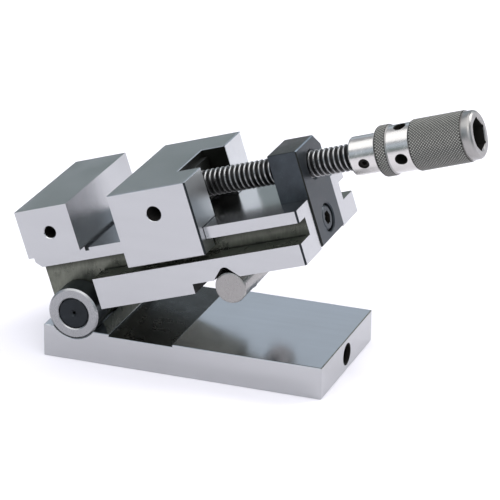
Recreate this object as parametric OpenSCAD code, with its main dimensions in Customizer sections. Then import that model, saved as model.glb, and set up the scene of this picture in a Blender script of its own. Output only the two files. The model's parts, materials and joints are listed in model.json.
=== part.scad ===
// Screw-type precision sine vise: a ground base, a vise body that tilts on a hinge
// pin, a sine roller, a sliding jaw and a screw turned by a knurled handle.
// Millimetres, +Z up. The origin is at the centre of the base's bottom face, with the
// hinge at the -X end and the handle at the +X end.
// "Along" runs from the hinge axis along the tilted body, "up" stands off its bed.

/* [Base] */
// Length of the base plate
base_l = 96; // [92:1:140]
// Width of the base, the body and both jaws
base_w = 50.8; // [44:0.1:76]
// Thickness of the base plate
base_h = 11; // [9.5:0.5:20]
// Distance from the hinge end to the shallow relief in the top
relief_inset = 23; // [20:0.5:30]
// Length of the shallow relief in the top
relief_l = 22; // [10:0.5:26]
// Depth of the shallow relief
relief_depth = 0.8; // [0.3:0.1:1.5]
// Tapping bore of the M8 hole in the handle end
base_hole_d = 6.65; // [5:0.05:7]
// Depth of the M8 hole
base_hole_depth = 16; // [10:1:25]
// Chamfer on ground edges
edge_c = 0.4; // [0.2:0.1:0.6]

/* [Hinge] */
// Distance from the hinge end of the base to the hinge axis
hinge_inset = 10.5; // [10:0.1:12]
// Diameter of the hinge pin
pin_d = 10.5; // [8:0.1:11]
// Outside diameter of the two hinge collars
collar_d = 17.3; // [16:0.1:18]
// Tilt of the body in the rest pose, in degrees
tilt_rest = 17.9; // [0:0.1:30]
// Radial clearance of the body on the pin
pin_clear = 0.05; // [0.01:0.01:0.1]
// Side clearance between body and collars
side_clear = 0.1; // [0.05:0.01:0.2]
// Size of the set screw that locks the tilt
lock_d = 5; // [4:0.5:6]

/* [Sine roller] */
// Distance from the hinge axis to the roller axis
sine_l = 57.15; // [53:0.05:62]
// Diameter of the sine roller
roller_d = 10.5; // [9.5:0.1:11]
// Distance of each roller screw from the middle plane
roller_screw_y = 12; // [8:0.5:14]

/* [Body] */
// Overhang of the body past the hinge axis, on the hinge side
body_back = 9.5; // [9:0.1:11]
// Distance from the hinge axis to the handle end of the body
body_front = 85; // [80:0.5:120]
// Where the lower plate starts, along from the hinge axis
plate_start = 10.6; // [10.2:0.1:14]
// Height of the lower plate's top
plate_top = 10.4; // [9.5:0.1:12]
// Where the underside steps up, along from the hinge axis
step_at = 44.7; // [38:0.1:48]
// How far the underside steps up
step_up = 3.3; // [2:0.1:4]
// Height of the underside of the rail flange
flange_under = 16.3; // [15:0.1:18]
// Height of the bed on which the jaw slides
bed_up = 20.2; // [19:0.1:24]
// How far the web lies behind each side
web_setback = 9; // [8:0.1:11]
// How far the rail flange lies behind each side
flange_setback = 3.5; // [3:0.1:5]

/* [Jaws] */
// Height of both jaws above the bed
jaw_h = 16.7; // [12:0.1:30]
// Thickness of the fixed jaw, measured from the body's hinge end
fixed_jaw_l = 19; // [16:0.5:24]
// Jaw opening in the rest pose
gap_rest = 14.8; // [10:0.1:20]
// Length of the moving jaw
moving_jaw_l = 28; // [24:0.5:32]
// Depth of the pocket in the back of the moving jaw
pocket_l = 8.4; // [7:0.1:10]
// Clearance of the nut block on each side of the pocket
pocket_room = 0.35; // [0.2:0.05:1]
// Height of the moving jaw's lower edge
skirt_up = 12.1; // [11.5:0.1:13]
// Sliding clearance between the moving jaw and the rails
slide_clear = 0.04; // [0.02:0.01:0.1]
// Width of the relief groove at the foot of the fixed jaw
foot_groove_w = 1.4; // [1:0.1:2]
// Depth of the relief groove
foot_groove_depth = 1; // [0.5:0.1:1.5]
// Diameter of the stop-rod hole in each side of the fixed jaw
stop_hole_d = 4; // [3:0.1:5]
// Distance of the stop-rod hole behind the gripping face
stop_hole_back = 8.6; // [5:0.1:11]
// Tapping bore of the M6 hole in each side of the moving jaw
side_hole_d = 5; // [4:0.1:5.2]
// Depth of the side holes
side_hole_depth = 10; // [6:0.5:12]

/* [Nut block] */
// Thickness of the block at the handle end
block_l = 10.1; // [9:0.1:12]
// Width of the block
block_w = 20.8; // [17:0.1:24]
// How far the block stands proud of the body's end
block_proud = 0.5; // [0:0.1:1]
// Height of the block above the bed
block_h = 16.1; // [14:0.1:20]
// Chamfer along the block's far upper edge
block_c = 4.2; // [2:0.1:6]
// Height of the block screw above the hinge axis
block_screw_up = 10.2; // [9:0.1:12]

/* [Screw] */
// Outside diameter of the screw thread
screw_d = 8.8; // [8:0.1:10]
// Height of the screw above the bed
screw_h = 8.2; // [7:0.1:10]
// Radial clearance of the screw in the nut block
thread_clear = 0.05; // [0.01:0.01:0.1]
// Length of the nose inside the moving jaw
nose_l = 6.4; // [5:0.1:8]
// Diameter of the nose
nose_d = 7.6; // [6:0.1:8]
// Diameter of the groove that the retaining plate holds
neck_d = 5; // [4:0.1:6]
// Thickness of the retaining plate
nose_plate_t = 2.2; // [1.5:0.1:3]

/* [Handle] */
// Diameter of the knurled grip and of the knurled ring
grip_d = 16.6; // [14:0.1:22]
// Length of the knurled grip
grip_l = 18; // [14:0.5:30]
// Length of the turned end behind the grip
grip_end_l = 3.4; // [2:0.1:5]
// Diameter of the turned neck with the tommy-bar holes
neck_band_d = 15.4; // [13:0.1:18]
// Length of the turned neck
neck_band_l = 7; // [6:0.1:9]
// Length of the knurled ring
ring_l = 4.6; // [3:0.1:7]
// Diameter of the plain sleeve
sleeve_d = 12.6; // [11:0.1:14]
// Length of the plain sleeve
sleeve_l = 9.4; // [8:0.1:12]
// Diameter of the four tommy-bar holes
tommy_d = 3.7; // [3:0.1:4]
// Size of the hex socket across its flats
hex_af = 9.5; // [8:0.1:10]
// Depth of the hex socket
hex_depth = 9; // [6:0.5:10]
// Diameter of the tail that carries the handle
tail_d = 6; // [5:0.1:7]

/* [Hidden] */
$fn = 96;
eps = 0.5;                                  // overshoot of a cut past a face
fit = 0.02;                                 // clearance of pieces that are fastened
turned_c = 0.5;                             // chamfer on turned edges
end_gap = 0.4;                              // room at the end of a screw or a dowel

half_w = base_w / 2;
hinge_x = -base_l / 2 + hinge_inset;
hinge_z = base_h + roller_d / 2;            // level body when the roller rests on the base
collar_r = collar_d / 2;
collar_l = web_setback - side_clear;
lug_r = collar_r - end_gap;
saddle_r = collar_r + fit;
web_w = base_w - 2 * web_setback;
flange_w = base_w - 2 * flange_setback;
jaw_top = bed_up + jaw_h;
overhang_step = 0.5;
jaw_overhang_up = bed_up + overhang_step;   // underside of the fixed jaw's side overhang
fixed_face = fixed_jaw_l - body_back;
jaw_face = fixed_face + gap_rest;
jaw_end = jaw_face + moving_jaw_l;
pocket_w = block_w + 2 * pocket_room;       // the nut block enters the pocket
pocket_face = jaw_end - pocket_l;
screw_up = bed_up + screw_h;
side_hole_at = jaw_face + moving_jaw_l / 2 + 0.5;
side_hole_y = half_w - side_hole_depth / 2 + eps / 2;
block_end = body_front + block_proud;
block_face = block_end - block_l;
block_under = step_up + 0.5;                // the block's foot lies inside its slot
block_top = bed_up + block_h;
handle_at = block_end + gap_rest;           // the sleeve reaches the block as the jaws close
ring_at = handle_at + sleeve_l;
neck_at = ring_at + ring_l;
grip_at = neck_at + neck_band_l;
grip_end_at = grip_at + grip_l;
handle_end = grip_end_at + grip_end_l;
tail_l = sleeve_l + 1;
handle_turn = -12;                          // the handle's turn about the screw, at rest

// Socket-head screws: thread, head diameter, head height, hex across flats
m5 = [5, 8.5, 5, 4];
m4 = [4, 7, 4, 3];
m3 = [3, 5.5, 3, 2.5];
m2 = [2, 3.8, 2, 1.5];
head_room = 0.35;                           // radial clearance of a head in its counterbore

// Moves children from the tilted body's own frame to the part's frame
module in_body() {
    translate([hinge_x, 0, hinge_z]) rotate([0, -tilt_rest, 0]) children();
}

// A box from its lowest corner, with every edge chamfered by c
module block(size, c = edge_c) {
    intersection() {
        linear_extrude(size.z) chamfered_rect(size.x, size.y, c);
        translate([0, size.y, 0]) rotate([90, 0, 0])
            linear_extrude(size.y) chamfered_rect(size.x, size.z, c);
        rotate([90, 0, 90]) linear_extrude(size.x) chamfered_rect(size.y, size.z, c);
    }
}

module chamfered_rect(a, b, c) {
    polygon([[c, 0], [a - c, 0], [a, c], [a, b - c], [a - c, b], [c, b], [0, b - c], [0, c]]);
}

// Extrudes an outline drawn in along and up across the width w
module across(w) {
    translate([0, w / 2, 0]) rotate([90, 0, 0]) linear_extrude(w) children();
}

// A cylinder along X from its low end
module along_x(d, l, sides = $fn) {
    rotate([0, 90, 0]) cylinder(d = d, h = l, $fn = sides);
}

// A cylinder across Y, centred on the middle plane
module along_y(d, l) {
    rotate([90, 0, 0]) cylinder(d = d, h = l, center = true);
}

// A turned piece along X from an outline of [along, radius] points
module turned(outline) {
    rotate([0, 90, 0]) rotate([0, 0, 180]) rotate_extrude()
        polygon([for (p = outline) [p[1], p[0]]]);
}

// A hexagonal prism along Z, measured across its flats
module hex_prism(af, l) {
    cylinder(d = af / cos(30), h = l, $fn = 6);
}

// A socket-head screw pointing up Z: head below z = 0, thread above
module cap_screw(m, l) {
    difference() {
        union() {
            translate([0, 0, -m[2]]) cylinder(d = m[1], h = m[2]);
            cylinder(d = m[0], h = l);
        }
        translate([0, 0, -m[2] - eps]) hex_prism(m[3], m[2] / 2 + eps);
    }
}

// The hole for that screw: counterbore below z = 0, thread above
module cap_screw_hole(m, l, sink) {
    translate([0, 0, -sink]) cylinder(d = m[1] + 2 * head_room, h = sink);
    cylinder(d = m[0] + 2 * fit, h = l);
}

collar_screw_z = 4.6;                       // seat of the collar screws' heads
collar_screw_len = hinge_z - pin_d / 2 - collar_screw_z - end_gap;
module at_collar_screws() {
    for (side = [-1, 1])
        translate([hinge_x, side * (half_w - collar_l / 2), collar_screw_z])
            children();
}

module base_plate() {
    color("#b4b1bd") difference() {
        translate([-base_l / 2, -half_w, 0]) block([base_l, base_w, base_h]);
        translate([hinge_x, 0, hinge_z]) along_y(2 * saddle_r, base_w + 2 * eps);
        translate([-base_l / 2 + relief_inset, -half_w - eps, base_h - relief_depth])
            cube([relief_l, base_w + 2 * eps, relief_depth + eps]);
        translate([base_l / 2 - base_hole_depth, 0, base_h / 2])
            along_x(base_hole_d, base_hole_depth + eps);
        at_collar_screws() cap_screw_hole(m4, base_h, collar_screw_z + eps);
    }
}

module hinge_collar(side) {
    outer = collar_r;
    inner = pin_d / 2 + fit;
    color("#a9acb2") difference() {
        translate([hinge_x, side * (half_w - collar_l / 2), hinge_z])
            rotate([0, 0, 90]) turned([
                [-collar_l / 2, inner + edge_c], [-collar_l / 2, outer - edge_c],
                [-collar_l / 2 + edge_c, outer], [collar_l / 2 - edge_c, outer],
                [collar_l / 2, outer - edge_c], [collar_l / 2, inner + edge_c],
                [collar_l / 2 - edge_c, inner], [-collar_l / 2 + edge_c, inner]]);
        at_collar_screws() cylinder(d = m4[0] + 2 * fit, h = hinge_z - collar_screw_z);
    }
}

module hinge_collar_front() { hinge_collar(-1); }

module hinge_collar_rear() { hinge_collar(1); }

module collar_screws() {
    color("#35373a") at_collar_screws() cap_screw(m4, collar_screw_len);
}

pin_short = 0.3;                            // how far the pin ends lie inside the collars
centre_drill_d = 1.6;
centre_drill_depth = 3;
module hinge_pin() {
    r = pin_d / 2;
    l = half_w - pin_short;
    c = centre_drill_d / 2;
    color("#2e3032") translate([hinge_x, 0, hinge_z]) rotate([0, 0, 90]) turned([
        [-l + centre_drill_depth, 0], [-l + centre_drill_depth, c], [-l, c], [-l, r - edge_c],
        [-l + edge_c, r], [l - edge_c, r], [l, r - edge_c], [l, c],
        [l - centre_drill_depth, c], [l - centre_drill_depth, 0]]);
}

v_top = roller_d / 2 * sqrt(2);             // apex of the 90 degree V above the roller axis
v_relief_d = 1.6;
roller_seat_d = 3.2;                        // depth of the screw seats in the roller
roller_screw_len = 17;
module at_roller_screws() {
    for (side = [-1, 1])
        translate([sine_l, side * roller_screw_y, -roller_d / 2 + roller_seat_d]) children();
}

lock_turn = 150;                            // direction of the lock screw about the hinge axis
module at_lock() {
    rotate([0, -lock_turn, 0]) children();
}
pad_l = 1.4;
pad_gap = 0.15;
lock_screw_at = pin_d / 2 + pad_gap + pad_l;
lock_screw_l = 4;

lug_up = 3.8;                               // height of the web's lower corner at the hinge end
flange_corner = 2;
overlap = 2;                                // how far joined shapes run into each other

module body_blank() {
    translate([plate_start, -half_w, 0])
        block([body_front - plate_start, base_w, plate_top]);
    across(web_w) union() {
        circle(r = lug_r);
        polygon([
            [0, 0], [-body_back, lug_up], [-body_back, flange_under + overlap],
            [body_front, flange_under + overlap], [body_front, plate_top - overlap],
            [plate_start + overlap, plate_top - overlap], [plate_start + overlap, 0]]);
    }
    across(flange_w) polygon([
        [-body_back, flange_under + flange_corner], [-body_back + flange_corner, flange_under],
        [body_front, flange_under], [body_front, bed_up - edge_c], [body_front - edge_c, bed_up],
        [-body_back, bed_up]]);
    translate([-body_back, -flange_w / 2, bed_up - overlap])
        cube([fixed_jaw_l, flange_w, jaw_h / 2]);
    translate([-body_back, -half_w, jaw_overhang_up])
        block([fixed_jaw_l, base_w, jaw_top - jaw_overhang_up]);
}

block_head_sink = 0.4;                      // the head lies this far inside the block
block_screw_len = 12;
block_seat = block_end - m5[2] - block_head_sink;

dowel_d = 3;
dowel_l = 12;
dowel_y = 7.2;                              // distance of each dowel from the middle plane
dowel_up = 14.2;
dowel_in_block = 5;
module at_block_dowels() {
    for (side = [-1, 1])
        translate([block_face + dowel_in_block - dowel_l, side * dowel_y, dowel_up]) children();
}

module vise_body() {
    color("#b3b0bc") in_body() difference() {
        body_blank();
        along_y(pin_d + 2 * pin_clear, base_w + 2 * eps);
        translate([step_at, -half_w - eps, -eps])
            cube([body_front - step_at + eps, base_w + 2 * eps, step_up + eps]);
        across(base_w + 2 * eps) polygon([
            [sine_l, v_top], [sine_l - v_top, 0], [sine_l + v_top, 0]]);
        translate([sine_l, 0, v_top]) along_y(v_relief_d, base_w + 2 * eps);
        at_roller_screws() cylinder(d = m3[0] + 2 * fit, h = roller_screw_len + 1);
        translate([fixed_face, -half_w, bed_up - foot_groove_depth])
            cube([foot_groove_w, base_w, foot_groove_depth + eps]);
        translate([block_face, -block_w / 2 - fit, -eps])
            cube([block_l + eps, block_w + 2 * fit, jaw_top]);
        translate([block_seat, 0, block_screw_up]) rotate([0, -90, 0])
            cylinder(d = m5[0] + 2 * fit, h = block_screw_len + 1);
        at_block_dowels() translate([-end_gap, 0, 0]) along_x(dowel_d + 2 * fit, dowel_l);
        at_lock() translate([pin_d / 2, 0, 0]) along_x(lock_d + 2 * fit, body_back + eps);
        for (side = [-1, 1])
            translate([fixed_face - stop_hole_back, side * side_hole_y, screw_up])
                along_y(stop_hole_d, side_hole_depth + eps);
    }
}

module tilt_lock_screw() {
    color("#35373a") in_body() at_lock() translate([lock_screw_at, 0, 0]) difference() {
        along_x(lock_d, lock_screw_l);
        translate([lock_screw_l / 2, 0, 0]) rotate([0, 90, 0]) hex_prism(lock_d / 2, lock_screw_l);
    }
}

module lock_pad() {
    color("#b08d4a") in_body() at_lock() translate([lock_screw_at - pad_l, 0, 0])
        along_x(lock_d - 0.2, pad_l);
}

module sine_roller() {
    color("#c4c2cb") in_body() difference() {
        translate([sine_l, 0, 0]) rotate([0, 0, 90]) turned([
            [-half_w, 0], [-half_w, roller_d / 2 - edge_c], [-half_w + edge_c, roller_d / 2],
            [half_w - edge_c, roller_d / 2], [half_w, roller_d / 2 - edge_c], [half_w, 0]]);
        at_roller_screws() cap_screw_hole(m3, roller_d, roller_seat_d + eps);
    }
}

module roller_screws() {
    color("#35373a") in_body() at_roller_screws() cap_screw(m3, roller_screw_len);
}

module nut_block() {
    color("#3d4246") in_body() difference() {
        translate([block_face, -block_w / 2, block_under])
            block([block_l, block_w, block_top - block_under]);
        translate([block_face - eps, block_w / 2, block_top]) rotate([45, 0, 0])
            translate([0, -block_c, -block_c / sqrt(2)])
                cube([block_l + 2 * eps, 2 * block_c, 2 * block_c]);
        translate([block_face - eps, 0, screw_up])
            along_x(screw_d + 2 * thread_clear, block_l + 2 * eps);
        translate([block_seat, 0, block_screw_up])
            along_x(m5[1] + 2 * head_room, m5[2] + 2 * eps);
        translate([block_face - eps, 0, block_screw_up]) along_x(m5[0] + 2 * fit, block_l);
        at_block_dowels() along_x(dowel_d + 2 * fit, dowel_l + end_gap);
    }
}

module nut_block_screw() {
    color("#2f3134") in_body() translate([block_seat, 0, block_screw_up]) rotate([0, -90, 0])
        cap_screw(m5, block_screw_len);
}

module nut_block_dowels() {
    color("#9a9ca0") in_body() at_block_dowels() along_x(dowel_d, dowel_l);
}

nose_play = 0.1;                            // end play of the screw's nose in the jaw
disc_t = 1.5;                               // thickness of the hardened disc ahead of the nose
nose_bore_d = nose_d + 0.2;
nose_bore_l = nose_l + 2 * nose_play + disc_t;
plate_w = pocket_w - 3.5;
plate_h = 12.6;
plate_screw_y = plate_w / 2 - 2.4;
plate_screw_l = 5;
module at_plate_screws() {
    for (side = [-1, 1])
        translate([pocket_face + nose_plate_t, side * plate_screw_y, screw_up]) rotate([0, -90, 0])
            children();
}

lip_room = 0.4;                             // gap between the jaw's lips and the web
module moving_jaw() {
    color("#b7b5c1") in_body() difference() {
        translate([jaw_face, -half_w, skirt_up]) block([moving_jaw_l, base_w, jaw_top - skirt_up]);
        translate([jaw_face - eps, -flange_w / 2 - slide_clear, flange_under - slide_clear])
            cube([moving_jaw_l + 2 * eps, flange_w + 2 * slide_clear,
                bed_up - flange_under + 2 * slide_clear]);
        translate([jaw_face - eps, -web_w / 2 - lip_room, skirt_up - eps])
            cube([moving_jaw_l + 2 * eps, web_w + 2 * lip_room, flange_under - skirt_up + eps]);
        translate([pocket_face, -pocket_w / 2, bed_up])
            cube([pocket_l + eps, pocket_w, jaw_h + eps]);
        translate([pocket_face - nose_bore_l, 0, screw_up]) along_x(nose_bore_d, nose_bore_l + eps);
        at_plate_screws() cylinder(d = m2[0] + 2 * fit, h = nose_plate_t + plate_screw_l);
        for (side = [-1, 1])
            translate([side_hole_at, side * side_hole_y, screw_up])
                along_y(side_hole_d, side_hole_depth + eps);
    }
}

module nose_thrust_disc() {
    color("#8f9298") in_body() translate([pocket_face - nose_bore_l, 0, screw_up])
        along_x(nose_bore_d - 2 * fit, disc_t);
}

module nose_plate() {
    color("#8f9298") in_body() difference() {
        translate([pocket_face, -plate_w / 2, screw_up - plate_h / 2])
            cube([nose_plate_t, plate_w, plate_h]);
        translate([pocket_face - eps, 0, screw_up]) along_x(neck_d + 0.2, nose_plate_t + 2 * eps);
        translate([pocket_face - eps, -neck_d / 2 - 0.1, screw_up - plate_h])
            cube([nose_plate_t + 2 * eps, neck_d + 0.2, plate_h]);
        at_plate_screws() translate([0, 0, -eps])
            cylinder(d = m2[0] + 2 * fit, h = nose_plate_t + 2 * eps);
    }
}

module nose_plate_screws() {
    color("#35373a") in_body() at_plate_screws() cap_screw(m2, plate_screw_l + nose_plate_t - end_gap);
}

thread_depth = 0.8;
module lead_screw() {
    nose = pocket_face - nose_play;
    neck = pocket_face + nose_plate_t + nose_play;
    r = screw_d / 2;
    color("#6e6c6a") in_body() translate([0, 0, screw_up]) turned([
        [nose - nose_l, 0], [nose - nose_l, nose_d / 2 - turned_c],
        [nose - nose_l + turned_c, nose_d / 2],
        [nose, nose_d / 2], [nose, neck_d / 2], [neck, neck_d / 2], [neck, r - thread_depth],
        [neck + thread_depth, r], [handle_at - thread_depth, r], [handle_at, r - thread_depth],
        [handle_at, tail_d / 2],
        [handle_at + tail_l, tail_d / 2], [handle_at + tail_l, 0]]);
}

tommy_at = neck_at + neck_band_l / 2 + 0.4; // the cross holes lie just past the neck's middle
set_screw_at = handle_at + sleeve_l / 2;
set_screw_gap = 0.05;
set_screw_l = (sleeve_d - tail_d) / 2 - 0.8;
set_screw_d = 3.2;
module in_handle() {
    in_body() translate([0, 0, screw_up]) rotate([-handle_turn, 0, 0]) children();
}

module handle() {
    ring_r = grip_d / 2;
    band_r = neck_band_d / 2;
    end_r = ring_r - 1.2;
    c = turned_c;
    color("#8d8c88") in_handle() difference() {
        turned([
            [handle_at, 0], [handle_at, sleeve_d / 2 - c], [handle_at + c, sleeve_d / 2],
            [ring_at, sleeve_d / 2], [ring_at, ring_r - c], [ring_at + c, ring_r],
            [neck_at - c, ring_r], [neck_at, band_r], [grip_at, band_r], [grip_at + c, ring_r],
            [grip_end_at, ring_r], [grip_end_at + c, ring_r - c],
            [handle_end - 2 * c, ring_r - c], [handle_end, end_r], [handle_end, 0]]);
        translate([handle_at - eps, 0, 0]) along_x(tail_d + 2 * fit, tail_l + eps + fit);
        for (a = [0, 90])
            rotate([a, 0, 0]) translate([tommy_at, 0, 0]) along_y(tommy_d, grip_d + 2 * eps);
        translate([handle_end - hex_depth, 0, 0]) rotate([0, 90, 0])
            hex_prism(hex_af, hex_depth + eps);
        translate([set_screw_at, 0, 0]) rotate([90, 0, 0])
            cylinder(d = set_screw_d + 2 * fit, h = sleeve_d);
    }
}

module handle_set_screw() {
    color("#35373a") in_handle()
        translate([set_screw_at, -tail_d / 2 - set_screw_gap, 0]) rotate([90, 0, 0]) difference() {
            cylinder(d = set_screw_d, h = set_screw_l);
            translate([0, 0, set_screw_l / 2]) hex_prism(1.5, set_screw_l);
        }
}

base_plate();
hinge_collar_front();
hinge_collar_rear();
collar_screws();
hinge_pin();
vise_body();
tilt_lock_screw();
lock_pad();
sine_roller();
roller_screws();
nut_block();
nut_block_screw();
nut_block_dowels();
moving_jaw();
nose_thrust_disc();
nose_plate();
nose_plate_screws();
lead_screw();
handle();
handle_set_screw();
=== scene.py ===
"""Looks of a screw-type precision sine vise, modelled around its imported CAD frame."""

import json
import math

import bmesh
import bpy
from mathutils import Matrix, Vector


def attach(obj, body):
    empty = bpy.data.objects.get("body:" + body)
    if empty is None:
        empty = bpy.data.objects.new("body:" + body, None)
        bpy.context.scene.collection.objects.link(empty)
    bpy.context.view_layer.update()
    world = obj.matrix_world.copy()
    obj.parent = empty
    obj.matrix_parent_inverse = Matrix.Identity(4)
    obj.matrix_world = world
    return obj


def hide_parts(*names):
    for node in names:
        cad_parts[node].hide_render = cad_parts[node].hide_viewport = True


bl_info = {
    "name": "Sine vise",
    "version": (1, 0, 0),
    "blender": (4, 5, 0),
    "location": "3D View > Sidebar > Sine vise",
    "description": "Builds the visible pieces of a tilting precision vise",
    "category": "Add Mesh",
}

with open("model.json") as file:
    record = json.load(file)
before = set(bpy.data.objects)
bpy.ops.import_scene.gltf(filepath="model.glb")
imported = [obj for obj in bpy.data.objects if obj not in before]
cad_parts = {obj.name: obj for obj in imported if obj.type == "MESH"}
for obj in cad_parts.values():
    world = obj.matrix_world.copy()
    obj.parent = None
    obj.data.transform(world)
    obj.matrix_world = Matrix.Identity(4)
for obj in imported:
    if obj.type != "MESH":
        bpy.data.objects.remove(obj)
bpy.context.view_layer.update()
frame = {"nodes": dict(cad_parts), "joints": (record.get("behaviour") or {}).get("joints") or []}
JOINTS = {joint["name"]: joint for joint in frame["joints"]}
MM = 0.001

# The tilted body's own frame: X along the bed, Y across, Z up, from the hinge axis.
HINGE = Vector(JOINTS["body_tilt"]["pos_m"])
BED_LINE = Vector(JOINTS["jaw_slide"]["axis"]).normalized()
TILT = math.atan2(BED_LINE.z, BED_LINE.x)
BODY = Matrix.Translation(HINGE) @ Matrix.Rotation(-TILT, 4, "Y")
UPRIGHT = Matrix.Translation(HINGE)


def span(node, place=BODY):
    """Lowest and highest corner of a CAD node in another frame, in millimetres."""
    back = place.inverted()
    points = [back @ v.co / MM for v in frame["nodes"][node].data.vertices]
    return [Vector([pick(p[i] for p in points) for i in range(3)]) for pick in (min, max)]


# Section of the body and the jaws, in millimetres, up from the hinge axis.
WEB_HALF = 16.4
FLANGE_HALF = 21.9
PLATE_START = 10.6
PLATE_TOP = 10.4
STEP_AT = 44.7
STEP_UP = 3.3
FLANGE_UNDER = 16.3
BED = 20.2
OVERHANG = 20.7
FIXED_FACE = 9.5
FOOT_GROOVE = (1.4, 1.0)
SINE_LENGTH = 57.15
LUG_RADIUS = 8.25
LUG_UP = 3.8
SLIDE_GAP = 0.04
WEB_GAP = 0.4
POCKET_HALF = 10.75
FITTED = 0.02
RUNNING = 0.05

# Socket screws, in millimetres: thread, head, head height, key and pitch.
M2 = (2.0, 3.8, 2.0, 1.5, 0.4)
M3 = (3.0, 5.5, 3.0, 2.5, 0.5)
M4 = (4.0, 7.0, 4.0, 3.0, 0.7)
M5 = (5.0, 8.5, 5.0, 4.0, 0.8)
HEAD_ROOM = 0.35
COLLAR_SCREW_SEAT = 4.6
ROLLER_SCREW_AT = 12
BLOCK_SCREW_UP = 10.2

# Edges flatter than this are shaded smooth, in degrees.
SMOOTH = 18
KNURL_SMOOTH = 16


# --- modelling helpers
def clear():
    """Back to object mode with nothing selected."""
    if bpy.context.mode != "OBJECT":
        bpy.ops.object.mode_set(mode="OBJECT")
    bpy.ops.object.select_all(action="DESELECT")


def choose(piece):
    """Selects one object alone."""
    clear()
    piece.select_set(True)
    bpy.context.view_layer.objects.active = piece


def edit(piece, mode="VERT"):
    """Opens one piece's mesh with nothing selected."""
    choose(piece)
    bpy.ops.object.mode_set(mode="EDIT")
    bpy.ops.mesh.select_mode(type=mode)
    bpy.ops.mesh.select_all(action="DESELECT")


def chain(name, points):
    """Draws a line of edges by extruding one vertex from point to point."""
    clear()
    bpy.ops.mesh.primitive_plane_add(size=MM)
    piece = bpy.context.object
    piece.name = name
    bpy.ops.object.mode_set(mode="EDIT")
    bpy.ops.mesh.merge(type="CENTER")
    bpy.ops.transform.translate(value=Vector(points[0]) * MM)
    for a, b in zip(points, points[1:]):
        step = (Vector(b) - Vector(a)) * MM
        bpy.ops.mesh.extrude_vertices_move(TRANSFORM_OT_translate={"value": step})
    bpy.ops.mesh.select_all(action="SELECT")
    piece.data.materials.append(material("blank"))
    return piece


def hollow(cutter, rim=None):
    """Gives a cutter the near-black painted shade of a hole past its rim, which its cut then takes.
    """
    cutter.data.materials.clear()
    cutter.data.materials.append(material("hole"))
    cutter.active_material_index = 0
    if rim is not None:
        paint(cutter, "blank", lambda middle, normal: middle.x < rim)
    return cutter


def close_up():
    """Merges doubles and points the faces of the mesh in edit mode outwards."""
    bpy.ops.mesh.select_all(action="SELECT")
    bpy.ops.mesh.remove_doubles(threshold=1e-6)
    bpy.ops.mesh.normals_make_consistent(inside=False)
    bpy.ops.object.mode_set(mode="OBJECT")


def prism(name, outline, start, end, axis="Y"):
    """A solid with this outline, extruded along Y (outline in X, Z) or X (in Y, Z)."""
    place = (lambda a, b: (a, start, b)) if axis == "Y" else (lambda a, b: (start, a, b))
    piece = chain(name, [place(*p) for p in outline])
    bpy.ops.mesh.edge_face_add()
    away = Vector((0, end - start, 0) if axis == "Y" else (end - start, 0, 0)) * MM
    bpy.ops.mesh.extrude_region_move(TRANSFORM_OT_translate={"value": away})
    close_up()
    return piece


def box(name, low, high):
    """A block from its lowest corner to its highest."""
    x0, y0, z0 = low
    x1, y1, z1 = high
    return prism(name, [(x0, z0), (x1, z0), (x1, z1), (x0, z1)], y0, y1)


def turned(name, outline, steps=96):
    """A piece turned about X from an outline of along and radius."""
    piece = chain(name, [(a, 0, r) for a, r in outline])
    bpy.ops.mesh.spin(
        steps=steps, angle=math.tau, center=(0, 0, 0), axis=(1, 0, 0), use_auto_merge=True
    )
    close_up()
    return piece


def rod(name, radius, start, end, steps=32):
    """A plain cylinder along X."""
    return turned(name, [(start, 0), (start, radius), (end, radius), (end, 0)], steps)


def move(piece, place):
    """Moves a piece by a matrix and keeps the place in its mesh."""
    choose(piece)
    piece.matrix_world = place @ piece.matrix_world
    bpy.ops.object.transform_apply(location=True, rotation=True, scale=True)
    return piece


def at(x, y, z, direction="X"):
    """A place in millimetres, with a turned piece's axis pointed along a direction."""
    turns = {
        "X": Matrix.Identity(4),
        "-X": Matrix.Rotation(math.pi, 4, "Z"),
        "Y": Matrix.Rotation(math.pi / 2, 4, "Z"),
        "-Y": Matrix.Rotation(-math.pi / 2, 4, "Z"),
        "Z": Matrix.Rotation(-math.pi / 2, 4, "Y"),
    }
    return Matrix.Translation(Vector((x, y, z)) * MM) @ turns[direction]


def combine(piece, other, operation="DIFFERENCE"):
    """Cuts, joins or intersects a piece with another one, which is used up."""
    choose(piece)
    bpy.ops.object.modifier_add(type="BOOLEAN")
    modifier = piece.modifiers[-1]
    modifier.operation = operation
    modifier.solver = "EXACT"
    modifier.material_mode = "TRANSFER"
    modifier.object = other
    bpy.ops.object.modifier_apply(modifier=modifier.name)
    bpy.data.objects.remove(other)
    return piece


def tidy_faces(piece):
    """Joins the flat faces that a union leaves in pieces."""
    edit(piece)
    bpy.ops.mesh.select_all(action="SELECT")
    bpy.ops.mesh.dissolve_limited(angle_limit=math.radians(0.5))
    close_up()


def soften(piece, width, segments=2, where=None):
    """Bevels the sharp outer edges, or those whose middle passes the test."""
    edit(piece, "EDGE")
    mesh = bmesh.from_edit_mesh(piece.data)
    for edge in mesh.edges:
        sharp = edge.is_manifold and edge.is_convex and edge.calc_face_angle() > 0.5
        middle = (edge.verts[0].co + edge.verts[1].co) / 2 / MM
        edge.select_set(bool(sharp and (where is None or where(middle))))
    bmesh.update_edit_mesh(piece.data)
    bpy.ops.mesh.bevel(offset=width * MM, segments=segments, affect="EDGES", clamp_overlap=True)
    bpy.ops.mesh.select_mode(type="VERT")
    close_up()


def copy_of(piece, name):
    """A copy with its own mesh."""
    twin = piece.copy()
    twin.data = piece.data.copy()
    twin.name = name
    bpy.context.scene.collection.objects.link(twin)
    return twin


def merge_pieces(name, pieces):
    """Joins several separate solids into one object."""
    clear()
    for piece in pieces:
        piece.select_set(True)
    bpy.context.view_layer.objects.active = pieces[0]
    bpy.ops.object.join()
    pieces[0].name = name
    return pieces[0]


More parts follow.
